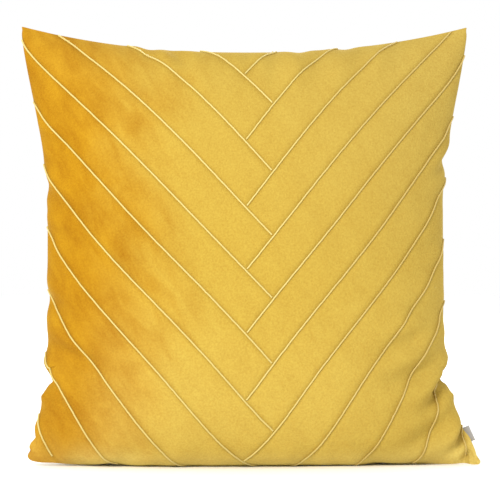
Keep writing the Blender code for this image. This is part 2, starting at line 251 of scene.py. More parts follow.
@dataclass(frozen=True)
class Herringbone:
    """Two mirrored families of lines that butt against each other along a staggered middle.

    Args:
        side: side of the flat square panel.
        pitch: between neighbours, up the panel.
        left_slope: rise of a left line over its run.
        right_slope: rise of a right line over its run.
        offset: the pattern's middle, to the right of the panel's.
        tilt: how far the pattern's middle leans.
        top: where the fifth left line meets the left seam.
        left_count: lines in the left family.
        right_count: lines in the right family.
        end_gap: how far a cord stops short of the one it butts against.
    """

    side: float = 0.450
    pitch: float = 0.06377
    left_slope: float = 0.971
    right_slope: float = 1.167
    offset: float = 0.0103
    tilt: float = math.radians(-0.35)
    top: float = 0.2122
    left_count: int = 12
    right_count: int = 11
    end_gap: float = 0.0022

    @property
    def zig(self) -> float:
        """Half the width of the staggered middle."""
        return self.pitch / (2 * (self.left_slope + self.right_slope))

    def to_own(self, u: float, v: float) -> tuple[float, float]:
        """Returns: a point of the panel in the pattern's own axes."""
        c, s = math.cos(self.tilt), math.sin(self.tilt)
        return (u - self.offset) * c + v * s, v * c - (u - self.offset) * s

    def to_panel(self, a: float, b: float) -> tuple[float, float]:
        """Returns: a point in the pattern's own axes, on the panel."""
        c, s = math.cos(self.tilt), math.sin(self.tilt)
        return self.offset + a * c - b * s, a * s + b * c

    @property
    def base(self) -> float:
        """Where the fifth left line crosses the pattern's middle."""
        start_u, start_v = self.to_own(-self.side / 2, self.top)
        return start_v + self.left_slope * start_u

    def cords(self) -> list[Cord]:
        """Returns: every cord, from the top down, left family first."""
        made = []
        for family, side, slope, count, shift in (
            ("left", -1, self.left_slope, self.left_count, 0.0),
            ("right", 1, self.right_slope, self.right_count, -self.pitch / 2),
        ):
            near = self.zig - self.end_gap / math.hypot(1, slope)
            far = 1.5 * self.side
            for k in range(count):
                base = self.base + (4 - k) * self.pitch + shift
                start = self.to_panel(-side * near, base - slope * near)
                end = self.to_panel(side * far, base + slope * far)
                made.append(Cord(f"cord_{family}_{k + 1:02d}", start, end))
        return made

    def distance(self, graph: Graph, u: Value, v: Value) -> Value:
        """The distance to the nearest line, as a shader expression.

        Args:
            graph: the material's graph.
            u: metres across the panel from its middle.
            v: metres up the panel from its middle.

        Returns: the distance, in metres.
        """
        c, s = math.cos(self.tilt), math.sin(self.tilt)
        a = (u - self.offset) * c + v * s
        b = v * c - (u - self.offset) * s
        left = abs(((b + a * self.left_slope - self.base) / self.pitch + 0.5).wrapped() - 0.5)
        left = left * (self.pitch / math.hypot(1, self.left_slope))
        right = abs(((b - a * self.right_slope - self.base) / self.pitch + 1.0).wrapped() - 0.5)
        right = right * (self.pitch / math.hypot(1, self.right_slope))
        left = left + (a > self.zig) * self.side
        right = right + (a < -self.zig) * self.side
        return left.least(right)


PATTERN = Herringbone()


# ---------------------------------------------------------------------------------------------------------
# Finishes


@dataclass(frozen=True)
class Velvet:
    """Mustard gold velvet, its nap brushed in patches, with light and shade painted into its colour.

    Args:
        name: the material's name.
        deep: its tone at the left, darker as painted shade.
        light: its tone further right, lighter as painted light.
        painted_sheen: a paler tone painted at the right and top, as painted sheen.
        low: a lighter tone painted along the bottom, as painted light bounced up from the floor.
        shade: a darker tone painted at the lower right, as painted shade.
    """

    name: str = "mustard_velvet"
    # deep and light are one velvet tone, in painted shade and in painted light.
    deep: Color = (0.390, 0.186, 0.006)
    light: Color = (0.450, 0.295, 0.040)
    painted_sheen: Color = (0.412, 0.288, 0.061)
    low: Color = (0.700, 0.545, 0.150)
    shade: Color = (0.290, 0.185, 0.028)

    def build(self) -> bpy.types.Material:
        """Returns: the material."""
        graph = Graph(self.name)
        place = graph.place()
        panel = graph.node("ShaderNodeUVMap", {"uv_map": "panel"}).outputs[0]
        across, up, _ = graph.parts(panel)
        u = (across - 0.5) * PATTERN.side
        v = (up - 0.5) * PATTERN.side
        distance = PATTERN.distance(graph, u, v)
        front = across < 1.5
        brushed = graph.noise(place, 7.0, 3.0, 1.2)
        patches = graph.noise(place, 22.0, 4.0, 0.8)
        fine = graph.noise(place, 560.0, 3.0)
        x, y, z = graph.parts(place)
        brush_lines = graph.node("ShaderNodeCombineXYZ", {}, {0: x * 1.6 + z, 1: y, 2: z * 0.45 - x * 0.3})
        strokes = graph.noise(brush_lines.outputs[0], 42.0, 3.0, 0.6)
        # Painted light and shade: the velvet is darker at the left and lighter towards the right, as the
        # light falls.
        painted_light_across = (across - up * 0.08 + (brushed - 0.5) * 0.30 + (strokes - 0.5) * 0.10).ramp(0.05, 0.37)
        # Painted sheen: the velvet is painted paler towards the right and the top.
        painted_sheen_mask = ((across * 0.55 + up * 0.45) + (patches - 0.5) * 0.10).ramp(0.35, 1.05)
        color = graph.mix(painted_light_across, self.deep, self.light)
        color = graph.mix(painted_sheen_mask * 0.9, color, self.painted_sheen)
        # Painted bounce light: the bottom is painted lighter, most in the middle and to the right.
        rise = (0.11 - up).ramp(0.0, 0.10) * 0.95 + (0.55 - up).ramp(0.0, 0.50) * 0.20
        # Painted shade: the lower right is painted darker, and less of the painted bounce light reaches it.
        painted_shade_low_right = (across - 0.62).ramp(0.0, 0.30) * (0.42 - up).ramp(0.0, 0.30)
        reach = (across.ramp(0.09, 0.22) * 0.85 + 0.15) * (1.0 - painted_shade_low_right * 0.3)
        color = graph.mix(rise * front * reach, color, self.low)
        color = graph.mix(painted_shade_low_right * front * 0.30, color, self.shade)
        mottle = ((patches - 0.5) * 0.30 + (strokes - 0.5) * 0.34) * (1.30 - painted_light_across)
        mottle = mottle + (fine - 0.5) * 0.34
        color = graph.mix(1.0, color, graph.node(
            "ShaderNodeCombineColor", {}, {0: mottle + 1.0, 1: mottle * 1.5 + 1.0, 2: mottle * 2.0 + 1.0}
        ).outputs[0], "MULTIPLY")
        # Painted shadow: a narrow darker band along each cord.
        painted_cord_shadow = distance.bell(0.0022) * front
        color = graph.mix(painted_cord_shadow * 0.30, color, (0.22, 0.12, 0.010))
        relief = graph.bump(1.0 - distance.bell(0.0036) * front, 0.0009, 0.9)
        relief = graph.bump(fine, 0.0005, 0.8, relief)
        return graph.finish({
            "Base Color": color, "Roughness": 0.88, "Specular IOR Level": 0.06, "Sheen Weight": 0.20,
            "Sheen Roughness": 0.35, "Sheen Tint": (1.0, 0.82, 0.30), "Normal": relief,
        })


@dataclass(frozen=True)
class Thread:
    """A finish of spun or woven thread.

    Args:
        name: the material's name.
        color: its colour.
        roughness: its roughness.
        sheen: how much it blooms at its edges.
        grain: threads per metre in its weave.
        relief: how high they stand.
    """

    name: str
    color: Color
    roughness: float
    sheen: float = 0.2
    grain: float = 1400.0
    relief: float = 0.0001

    def build(self) -> bpy.types.Material:
        """Returns: the material."""
        graph = Graph(self.name)
        weave = graph.noise(graph.place(), self.grain, 2.0)
        tone = graph.mix((weave - 0.5) * 0.5 + 0.5, tuple(0.86 * c for c in self.color), self.color)
        return graph.finish({
            "Base Color": tone, "Roughness": self.roughness, "Sheen Weight": self.sheen,
            "Normal": graph.bump(weave, self.relief, 0.7),
        })


@dataclass(frozen=True)
class Satin:
    """Satin cord, painted paler towards the left as a painted highlight.

    Args:
        name: the material's name.
        painted_sheen: its colour at the left, lighter as a painted highlight.
        gold: its colour at the right.
    """

    name: str = "satin_cord"
    painted_sheen: Color = (0.60, 0.475, 0.135)
    gold: Color = (0.49, 0.350, 0.080)

    def build(self) -> bpy.types.Material:
        """Returns: the material."""
        graph = Graph(self.name)
        place = graph.place()
        x, _, _ = graph.parts(place)
        ply = graph.noise(place, 1500.0, 2.0)
        # Painted highlight: the cord is painted paler towards the left.
        color = graph.mix((x + (ply - 0.5) * 0.1).ramp(0.0, 0.15), self.painted_sheen, self.gold)
        return graph.finish({
            "Base Color": color, "Roughness": 0.42, "Sheen Weight": 0.2,
            "Normal": graph.bump(ply, 0.0002, 0.8),
        })


@dataclass(frozen=True)
class Plated:
    """Old brass plating, brushed soft.

    Args:
        name: the material's name.
        color: the plating's colour.
        roughness: its roughness.
    """

    name: str = "old_brass"
    color: Color = (0.50, 0.36, 0.16)
    roughness: float = 0.34

    def build(self) -> bpy.types.Material:
        """Returns: the material."""
        graph = Graph(self.name)
        worn = graph.noise(graph.place(), 600.0, 3.0)
        return graph.finish({
            "Base Color": self.color, "Metallic": 1.0,
            "Roughness": (worn - 0.5) * 0.25 + self.roughness,
        })


class Finishes:
    """Every material of the scene, by the name of its slot in the record."""

    def __init__(self) -> None:
        self.by_slot: dict[str, bpy.types.Material] = {
            "velvet": Velvet().build(),
            "satin_cord": Satin().build(),
            "insert_ticking": Thread("insert_ticking", (0.50, 0.49, 0.47), 0.9).build(),
            "fibre_filling": Thread("fibre_filling", (0.54, 0.54, 0.53), 1.0, 0.4, 300.0, 0.001).build(),
            "zip_tape": Thread("zip_tape", (0.36, 0.22, 0.03), 0.8).build(),
            "nylon_coil": Thread("nylon_coil", (0.38, 0.24, 0.05), 0.42, 0.0).build(),
            "old_brass": Plated().build(),
            # The label's grey is darkened in part as painted shade of the seam.
            "label_satin": Thread("label_satin", (0.36, 0.345, 0.32), 0.4, 0.3, 2200.0, 0.00005).build(),
        }

    def dress(self, obj: bpy.types.Object, slot: str) -> bpy.types.Object:
        """Gives a new piece the finish of a record's slot.

        Args:
            obj: the piece.
            slot: the record's slot.

        Returns: the piece.
        """
        obj.data.materials.clear()
        obj.data.materials.append(self.by_slot[slot])
        return obj

    def dress_frame(self, frame: dict) -> None:
        """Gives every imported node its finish."""
        slots = {part["node"]: part["material_slot"] for part in frame["record"]["subparts"]}
        for name, node in frame["nodes"].items():
            for k in range(max(1, len(node.data.materials))):
                if len(node.data.materials) <= k:
                    node.data.materials.append(None)
                node.data.materials[k] = self.by_slot[slots[name]]


# ---------------------------------------------------------------------------------------------------------
# The cover's form

CURVE_STEPS = 240


def signed_power(value: float, power: float) -> float:
    """Returns: value raised to power, keeping its sign."""
    return math.copysign(abs(value) ** power, value)


class EvenCurve:
    """A curve through dense points, read by the share of its length.

    Args:
        points: the points, one row each.
    """

    def __init__(self, points: Sequence[tuple[float, float]]) -> None:
        self.points = np.array(points)
        steps = np.linalg.norm(np.diff(self.points, axis=0), axis=1)
        self.along = np.concatenate([[0.0], np.cumsum(steps)])
        self.length = float(self.along[-1])

    def at(self, share: float) -> tuple[float, float]:
        """Returns: the point at this share of the length."""
        wanted = min(max(share, 0.0), 1.0) * self.length
        return tuple(float(np.interp(wanted, self.along, self.points[:, k])) for k in range(2))

    def share_where(self, axis: int, value: float) -> float:
        """Returns: the share of the length at which a coordinate that only grows reaches value."""
        first = int(np.argmax(self.points[:, axis] >= value))
        low, high = self.points[first - 1, axis], self.points[first, axis]
        part = (value - low) / (high - low)
        return float(self.along[first - 1] + (self.along[first] - self.along[first - 1]) * part) / self.length


@dataclass
class Form:
    """The standing pillow's form, as a point for every place on its two panels.

    Args:
        half_width: at the waist of the side seams.
        ear_reach: how far the top corners stand out past the waist.
        ear_span: where they begin and end their reach, as shares of the way up.
        low_reach: how far the lower left and the lower right corner do.
        low_start: where they begin to, as a share of the way down from the belly.
        low_power: how late they do.
        top: height of the top seam's middle.
        ear_rise: the top corners above it.
        belly: height where the pillow is thickest.
        front_depth: from the seam plane.
        back_depth: from the seam plane.
        lean: metres back per metre up.
        rest_centre: the middle of the resting flat, behind the bottom seam.
        press: how much of the round lower edge is pressed flat.
        side_sag: how much shallower the pillow gets towards its sides.
        side_power: roundness of the sides seen from above.
        zip_side_power: added to it beside the zip, whose tapes hold the back to one even arc.
        zip_band: how far above and below the zip they do.
        zip_height: height of the zip across the back.
        zip_half: half the zip's length.
        slot: half the width of the zip's slot.
        slot_run_out: how far past the zip's ends the slot closes.
        slot_depth: how deep the slot is.
        ease: how much more of its cut length the front takes up in puckers near its edges.
        front_powers: roundness of the front's section, below and above the belly.
        back_powers: roundness of the back's.
    """

    half_width: float = 0.189
    ear_reach: float = 0.0275
    ear_span: tuple[float, float] = (0.36, 1.12)
    low_reach: tuple[float, float] = (0.0225, 0.0350)
    low_start: float = 0.36
    low_power: float = 1.6
    top: float = 0.392
    ear_rise: float = 0.025
    belly: float = 0.150
    front_depth: float = 0.072
    back_depth: float = 0.066
    lean: float = math.tan(math.radians(5))
    rest_centre: float = 0.012
    press: float = 0.0012
    side_sag: float = 0.42
    side_power: float = 5.0
    zip_side_power: float = 13.0
    zip_band: float = 0.045
    zip_height: float = 0.068
    zip_half: float = 0.142
    slot: float = 0.0046
    slot_run_out: float = 0.030
    slot_depth: float = 0.0056
    ease: float = 0.10
    front_powers: tuple[float, float] = (2.6, 2.2)
    back_powers: tuple[float, float] = (6.0, 2.2)

    def __post_init__(self) -> None:
        self.front = self._section(self.front_depth, *self.front_powers)
        self.back = self._section(self.back_depth, *self.back_powers)
        across = [math.sin(0.5 * math.pi * k / CURVE_STEPS) for k in range(CURVE_STEPS + 1)]
        self.level = EvenCurve([
            (a * self.half_width, self.front_depth * self.side_fall(a, self.side_power)) for a in across
        ])
        self.zip_share = self.back.share_where(1, self.zip_height)

    def _section(self, depth: float, low_power: float, top_power: float) -> EvenCurve:
        points = []
        for k in range(CURVE_STEPS + 1):
            turn = math.pi * (k / CURVE_STEPS - 0.5)
            power = low_power if turn < 0 else top_power
            reach = self.belly if turn < 0 else self.top + self.press - self.belly
            out = depth * max(math.cos(turn), 0.0) ** (2 / power)
            height = self.belly + reach * signed_power(math.sin(turn), 2 / power)
            points.append((out, max(height - self.press, 0.0)))
        return EvenCurve(points)

    def side_fall(self, across: float, power: float) -> float:
        """Returns: the depth at a share of the half width, against the middle's."""
        return (1 - self.side_sag * across**2) * math.sqrt(max(1 - abs(across) ** power, 0.0))

    def width_at(self, height: float, right: bool = False) -> float:
        """Returns: the distance from the middle to a side seam at this height."""
        if height < self.belly:
            down = (self.belly - height) / self.belly
            share = min(max((down - self.low_start) / (1 - self.low_start), 0.0), 1.0)
            return self.half_width + self.low_reach[right] * share**self.low_power
        share = (height - self.belly) / (self.top + self.ear_rise - self.belly)
        low, high = self.ear_span
        share = min(max((share - low) / (high - low), 0.0), 1.0)
        return self.half_width + self.ear_reach * share**2 * (3 - 2 * share)

    def seam_height(self, share: float) -> float:
        """Returns: the side seam's height for a share of the way up the back, whose rows follow the zip."""
        top = self.top + self.ear_rise
        if share < self.zip_share:
            return self.zip_height * share / self.zip_share
        return self.zip_height + (top - self.zip_height) * (share - self.zip_share) / (1 - self.zip_share)

    def middle_at(self, level: float, up: float) -> float:
        """Returns: how far a row follows the pillow's middle rather than its side seams."""
        return 1 - level ** (4 - 1.7 * min(max((up - 0.5) / 0.45, 0.0), 1.0))

    def reach_at(self, across: float) -> float:
        """Returns: how far across the half width a share of the way across the panel comes."""
        return self.level.at(abs(across))[0] / self.half_width

    def slot_open(self, across: float) -> float:
        """Returns: 1 over the zip, falling to 0 past its ends."""
        past = self.reach_at(across) * self.width_at(self.zip_height) - self.zip_half
        return min(max((self.slot_run_out - past) / (self.slot_run_out / 2), 0.0), 1.0)

    def stand(self, x: float, y: float, z: float) -> tuple[float, float, float]:
        """Returns: a point of the upright pillow, leaned back over its resting flat."""
        return x, y + self.lean * z - self.rest_centre, z

    def point(self, side: Side, across: float, up: float) -> tuple[float, float, float]:
        """A point of the standing cover.

        Args:
            side: which panel.
            across: from -1 to 1, left to right.
            up: from 0 to 1, as a share of the way up that panel.

        Returns: the point.
        """
        section = self.back if side is Side.BACK else self.front
        share = up
        if side is Side.FRONT:
            share += self.ease * math.sin(2 * math.pi * up) / (2 * math.pi)
            across -= self.ease * math.sin(math.pi * across) / math.pi * (1 - (2 * up - 1) ** 8)
        depth, middle_height = section.at(share)
        level = self.reach_at(across)
        middle = self.middle_at(level, up)
        rim = self.seam_height(up) if side is Side.BACK else up * (self.top + self.ear_rise)
        height = middle_height * middle + rim * (1 - middle)
        power = self.side_power
        if side is Side.BACK:
            power += self.zip_side_power * math.exp(-(((height - self.zip_height) / self.zip_band) ** 2))
        out = depth * self.side_fall(level, power)
        x = math.copysign(level, across) * self.width_at(height, across > 0)
        return self.stand(x, side.value * out, height)


def take_active(name: str) -> bpy.types.Object:
    """Returns: the object the last operator made, renamed."""
    made = bpy.context.object
    made.name = name
    made.data.name = name
    return made


def select_only(*objs: bpy.types.Object) -> None:
    """Selects these objects alone, and makes the first one active."""
    bpy.ops.object.select_all(action="DESELECT")
    for obj in objs:
        obj.select_set(True)
    bpy.context.view_layer.objects.active = objs[0]


def apply_all(obj: bpy.types.Object) -> bpy.types.Object:
    """Applies every modifier of a piece, in order."""
    select_only(obj)
    for modifier in list(obj.modifiers):
        bpy.ops.object.modifier_apply(modifier=modifier.name)
    return obj


def sew_together(panels: Sequence[bpy.types.Object], name: str) -> bpy.types.Object:
    """Returns: the panels as one closed piece, joined where their rims meet."""
    select_only(*panels)
    bpy.ops.object.join()
    sewn = take_active(name)
    bpy.ops.object.mode_set(mode="EDIT")
    bpy.ops.mesh.select_all(action="SELECT")
    bpy.ops.mesh.remove_doubles(threshold=0.0001)
    bpy.ops.mesh.normals_make_consistent(inside=False)
    bpy.ops.object.mode_set(mode="OBJECT")
    return sewn


def draw_wire(name: str, spots: Sequence[Vector], radius: float, resolution: int) -> bpy.types.Object:
    """Makes a round wire through points, with closed ends.

    Args:
        name: of the piece.
        spots: the points.
        radius: of the wire.
        resolution: how finely it is rounded.

    Returns: the piece, as a mesh.
    """
    line = bpy.data.curves.new(name, "CURVE")
    line.dimensions = "3D"
    line.bevel_depth = radius
    line.bevel_resolution = resolution
    line.use_fill_caps = True
    spline = line.splines.new("POLY")
    spline.points.add(len(spots) - 1)
    for point, spot in zip(spline.points, spots):
        point.co = (*spot, 1)
    obj = bpy.data.objects.new(name, line)
    bpy.context.scene.collection.objects.link(obj)
    select_only(obj)
    bpy.ops.object.convert(target="MESH")
    wire = take_active(name)
    wire.data.shade_smooth()
    return wire


def vertex_values(mesh: bpy.types.Mesh, name: str) -> np.ndarray:
    """Returns: the places or the normals of a mesh, one row each."""
    values = np.zeros(len(mesh.vertices) * 3, np.float32)
    mesh.vertices.foreach_get(name, values)
    return values.reshape(-1, 3)


def move_vertices(mesh: bpy.types.Mesh, spots: np.ndarray) -> None:
    """Moves every vertex to its row's place, or to the floor if that is lower."""
    spots[:, 2] = np.maximum(spots[:, 2], 0.0)
    mesh.vertices.foreach_set("co", spots.ravel())
    mesh.update()


@dataclass(frozen=True)
class Fold:
    """A soft fold in the cloth, in front of or behind its smooth form.

    Args:
        u: its middle, across the panel, in metres.
        v: its middle, up the panel, in metres.
        angle: of its line, in degrees from level.
        length: from end to end of its line.
        width: across its line.
        depth: how far it sinks, or stands out if negative.
        bulges: the cloth pushed up beside it, as shares of its depth and places in widths.
    """

    u: float
    v: float
    angle: float
    length: float
    width: float
    depth: float
    bulges: tuple[tuple[float, float], ...] = ((0.50, 1.7), (0.28, -1.8))

    def sink(self, u: np.ndarray, v: np.ndarray) -> np.ndarray:
        """Returns: how far each place of the panel sinks."""
        c, s = math.cos(math.radians(self.angle)), math.sin(math.radians(self.angle))
        along = (u - self.u) * c + (v - self.v) * s
        across = (v - self.v) * c - (u - self.u) * s
        along_share = np.exp(-((along / (self.length / 2)) ** 2))
        share = across / self.width
        crest = sum(height * np.exp(-((share - place) ** 2)) for height, place in self.bulges)
        return self.depth * along_share * (np.exp(-(share**2)) - crest)


FOLDS: tuple[Fold, ...] = (
    # The lower left corner and its side seam.
    Fold(-0.223, -0.136, -28, 0.044, 0.0085, 0.0105),
    Fold(-0.203, -0.146, -40, 0.045, 0.0075, 0.0052),
    Fold(-0.222, -0.200, -36, 0.030, 0.0062, 0.0042),
    Fold(-0.190, -0.200, -58, 0.040, 0.0080, 0.0036),
    Fold(-0.180, -0.105, -8, 0.060, 0.0100, 0.0048),
    Fold(-0.208, -0.060, -20, 0.050, 0.0100, 0.0040),
    # The lower right corner and its side seam.
    Fold(0.223, -0.134, 24, 0.048, 0.0085, 0.0110),
    Fold(0.196, -0.147, 24, 0.050, 0.0080, 0.0085),
    Fold(0.176, -0.118, 6, 0.060, 0.0100, 0.0055),
    Fold(0.172, -0.085, 10, 0.070, 0.0100, 0.0040),
    Fold(0.176, -0.176, 20, 0.060, 0.0090, 0.0062),
    Fold(0.204, -0.197, 28, 0.034, 0.0056, 0.0120),
    Fold(0.203, -0.213, 34, 0.026, 0.0052, 0.0085),
    Fold(0.188, -0.060, -14, 0.050, 0.0100, 0.0030),
    # Higher up the side seams.
    Fold(0.220, 0.085, 35, 0.040, 0.0080, 0.0045),
    Fold(-0.220, 0.060, -30, 0.040, 0.0085, 0.0025),
    # The top seam.
    Fold(-0.088, 0.216, 70, 0.032, 0.0070, 0.0022),
    Fold(-0.062, 0.212, 118, 0.030, 0.0065, 0.0016),
    Fold(0.050, 0.216, 105, 0.032, 0.0070, 0.0020),
    Fold(0.088, 0.216, 72, 0.030, 0.0070, 0.0020),
    # The bottom seam.
    Fold(-0.120, -0.205, 76, 0.050, 0.0095, 0.0018),
    Fold(0.110, -0.205, 100, 0.050, 0.0095, 0.0018),
)


@dataclass
class Cover:
    """The velvet cover: two panels joined all round as one closed cloth.

    Args:
        form: the shape it is filled to.
        columns: cells across.
        lower_rows: cells below the zip.
        upper_rows: cells above it.
        pressure: of the filling on the cloth.
        frames: steps of the simulation.
        give: the furthest a place may move from the form.
        gather: how far the puckers along the seams stand in and out.
        gather_reach: how far in from a seam they run.
        gather_rate: puckers per metre of seam.
        folds: the folds laid into it.
        rim_hold: how firmly the seams are kept in place, up to 1.
        floor_hold: how firmly the cloth is where it touches the floor.
        floor_hold_height: how far up from the floor that hold runs out.
        zip_hold_reach: how far from the zip the cloth is free of it.
        zip_hold_ease: the part of that reach in which its hold runs out.
        slot_rows: rows beside the zip, as offsets in half slots from its middle.
        slot_floor: the offset of those at the bottom of the slot.
        seam_folds: how far out the folds lie that notch the side seams.
        notch_start: how far out those folds begin to draw the cloth sideways.
        notch_ease: over which they come to do so fully.
        zip_calm: how far above and below the zip its tapes keep folds out.
        zip_calm_half: how far out from the middle they still do.
        zip_calm_ease: over which they cease to.
        rim_power: how narrow the seams' own strip of cloth is.
        corner_power: how small the corners are.
        top_round: radius of the upper corners.
        low_round: radius of the lower left and the lower right corner.
        ear_lift: how far the lower left and the lower right ear stand off the floor.
        ear_forward: how far they flop forward.
    """

    form: Form = field(default_factory=Form)
    columns: int = 120
    lower_rows: int = 19
    upper_rows: int = 76
    pressure: float = 4.0
    frames: int = 18
    give: float = 0.006
    gather: float = 0.0042
    gather_reach: float = 0.060
    gather_rate: float = 52.0
    folds: tuple[Fold, ...] = FOLDS
    rim_hold: float = 0.8
    floor_hold: float = 0.9
    floor_hold_height: float = 0.012
    zip_hold_reach: float = 0.030
    zip_hold_ease: float = 0.014
    slot_rows: tuple[float, ...] = (-2.2, -1.25, -1.0, -0.92, 0.92, 1.0, 1.25, 2.2)
    slot_floor: float = 0.92
    seam_folds: float = 0.215
    notch_start: float = 0.188
    notch_ease: float = 0.030
    zip_calm: float = 0.022
    zip_calm_half: float = 0.200
    zip_calm_ease: float = 0.02
    rim_power: int = 60
    corner_power: int = 12
    top_round: float = 0.009
    low_round: tuple[float, float] = (0.022, 0.020)
    ear_lift: tuple[float, float] = (0.0080, 0.0005)
    ear_forward: tuple[float, float] = (0.006, 0.020)

    def row_shares(self) -> list[tuple[float, float]]:
        """Returns: each row of the back as its share of the way up and its offset from the zip."""
        rows = [(self.form.zip_share * k / self.lower_rows, 0.0) for k in range(self.lower_rows - 1)]
        rows += [(self.form.zip_share, offset) for offset in self.slot_rows]
        rest = 1 - self.form.zip_share
        for k in range(2, self.upper_rows + 1):
            rows.append((self.form.zip_share + rest * k / self.upper_rows, 0.0))
        return rows

    def back_share(self, row: tuple[float, float], across: float) -> float:
        """Returns: the share of the way up the back for a row, beside the slot or on its own."""
        share, offset = row
        if not offset:
            return share
        form = self.form
        middle = 1 - form.reach_at(across) ** 4
        rise = form.back.length * middle + form.zip_height / form.zip_share * (1 - middle)
        return share + offset * form.slot / rise

    def build(self) -> bpy.types.Object:
        """Returns: the finished cover, with its own flat coordinates as the UV map named panel."""
        rows = self.row_shares()
        cover = sew_together([self._panel(side, rows) for side in Side], "velvet_cover")
        self._gather(cover)
        self._fill(cover)
        self._lay_folds(cover)
        self._finish(cover)
        return cover

    def _panel(self, side: Side, rows: list[tuple[float, float]]) -> bpy.types.Object:
        form = self.form
        columns, count = self.columns, len(rows) - 1
        bpy.ops.mesh.primitive_grid_add(x_subdivisions=columns, y_subdivisions=count, size=2)
        panel = take_active(f"panel_{side.name.lower()}")
        mesh = panel.data
        top = form.top + form.ear_rise
        spots = np.zeros((len(mesh.vertices), 3), np.float32)
        flats = np.zeros((len(mesh.vertices), 3), np.float32)
        held = np.zeros(len(mesh.vertices), np.float32)
        for vertex in mesh.vertices:
            column = round((vertex.co.x + 1) / 2 * columns)
            row = round((vertex.co.y + 1) / 2 * count)
            across = 2 * column / columns - 1
            seam_up = form.seam_height(self.back_share(rows[row], 1.0)) / top
            if side is Side.BACK:
                up = self.back_share(rows[row], across)
                middle = 1 - form.reach_at(across) ** 4
                flat_up = up * middle + seam_up * (1 - middle)
            else:
                rim = across**8
                up = flat_up = seam_up * rim + row / count * (1 - rim)
            point = list(form.point(side, across, up))
            if side is Side.BACK and abs(rows[row][1]) == self.slot_floor:
                point[1] -= form.slot_depth * form.slot_open(across)
            corner = abs(across * (2 * flat_up - 1)) ** self.corner_power
            rim = max(abs(across), abs(2 * flat_up - 1)) ** self.rim_power
            held[vertex.index] = max(self._hold(side, point[2]), corner, self.rim_hold * rim)
            inward_x, inward_z = self._rounding(across, flat_up)
            point[0] -= math.copysign(inward_x, across)
            if flat_up < 0.5:
                point[2] += inward_z + self.ear_lift[across > 0] * math.sqrt(corner)
                point[1] -= self.ear_forward[across > 0] * corner**0.25
            else:
                point[2] -= inward_z
            spots[vertex.index] = point
            flats[vertex.index] = (across * PATTERN.side / 2, (flat_up - 0.5) * PATTERN.side, 0)
        mesh.vertices.foreach_set("co", spots.ravel())
        for name, kind, values in (
            ("flat", "FLOAT_VECTOR", flats.ravel()), ("held", "FLOAT", held),
            ("face_side", "FLOAT", np.full(len(mesh.vertices), side.value, np.float32)),
        ):
            data = mesh.attributes.new(name, kind, "POINT").data
            data.foreach_set("vector" if kind == "FLOAT_VECTOR" else "value", values)
        while mesh.uv_layers:
            mesh.uv_layers.remove(mesh.uv_layers[0])
        sheet = mesh.uv_layers.new(name="panel")
        shift = 2.0 if side is Side.BACK else 0.0
        for loop in mesh.loops:
            u, v, _ = flats[loop.vertex_index]
            sheet.data[loop.index].uv = (u / PATTERN.side + 0.5 + shift, v / PATTERN.side + 0.5)
        return panel

    def _hold(self, side: Side, height: float) -> float:
        """Returns: how firmly the floor and, at the back, the zip hold a place at this height."""
        held = self.floor_hold * (1 - min(height / self.floor_hold_height, 1.0))
        if side is Side.BACK:
            near = abs(height - self.form.zip_height)
            held = max(held, min((self.zip_hold_reach - near) / self.zip_hold_ease, 1.0))
        return held

    def _rounding(self, across: float, flat_up: float) -> tuple[float, float]:
        """Returns: how far a corner's rounding draws a place in, across and up."""
        radius = self.top_round if flat_up > 0.5 else self.low_round[across > 0]
        half = PATTERN.side / 2
        a = max(radius - half * (1 - abs(across)), 0.0)
        b = max(radius - half * (1 - abs(2 * flat_up - 1)), 0.0)
        kept = max(a, b) / max(math.hypot(a, b), 1e-9)
        return a * (1 - kept), b * (1 - kept)

    def _read(self, mesh: bpy.types.Mesh, name: str, width: int) -> np.ndarray:
        values = np.zeros(len(mesh.vertices) * width, np.float32)
        data = mesh.attributes[name].data
        data.foreach_get("vector" if width == 3 else "value", values)
        return values.reshape(-1, width) if width > 1 else values

    def _gather(self, cover: bpy.types.Object) -> None:
        """Puckers the cloth along its seams, where the flat cut has more length than the filled form."""
        mesh = cover.data
        spots, normals = vertex_values(mesh, "co"), vertex_values(mesh, "normal")
        flats = self._read(mesh, "flat", 3)
        held = self._read(mesh, "held", 1)
        side = self._read(mesh, "face_side", 1)
        half = PATTERN.side / 2
        for index in range(len(spots)):
            u, v = flats[index, 0], flats[index, 1]
            push = 0.0
            for inside, along, seed in (
                (half - abs(u), v, 3.0 * math.copysign(1, u)), (half - abs(v), u, 7.0 * math.copysign(1, v))
            ):
                if inside < self.gather_reach:
                    depth = math.sin(math.pi * (inside / self.gather_reach) ** 0.6)
                    wave = noise.noise(Vector((along * self.gather_rate, inside * 9, seed + side[index])))
                    push += self.gather * depth * wave
            corner = min(1.0, 1.6 * (1 - min(abs(u), abs(v)) / half))
            spots[index] += normals[index] * push * corner * (1 - held[index])
        move_vertices(mesh, spots)

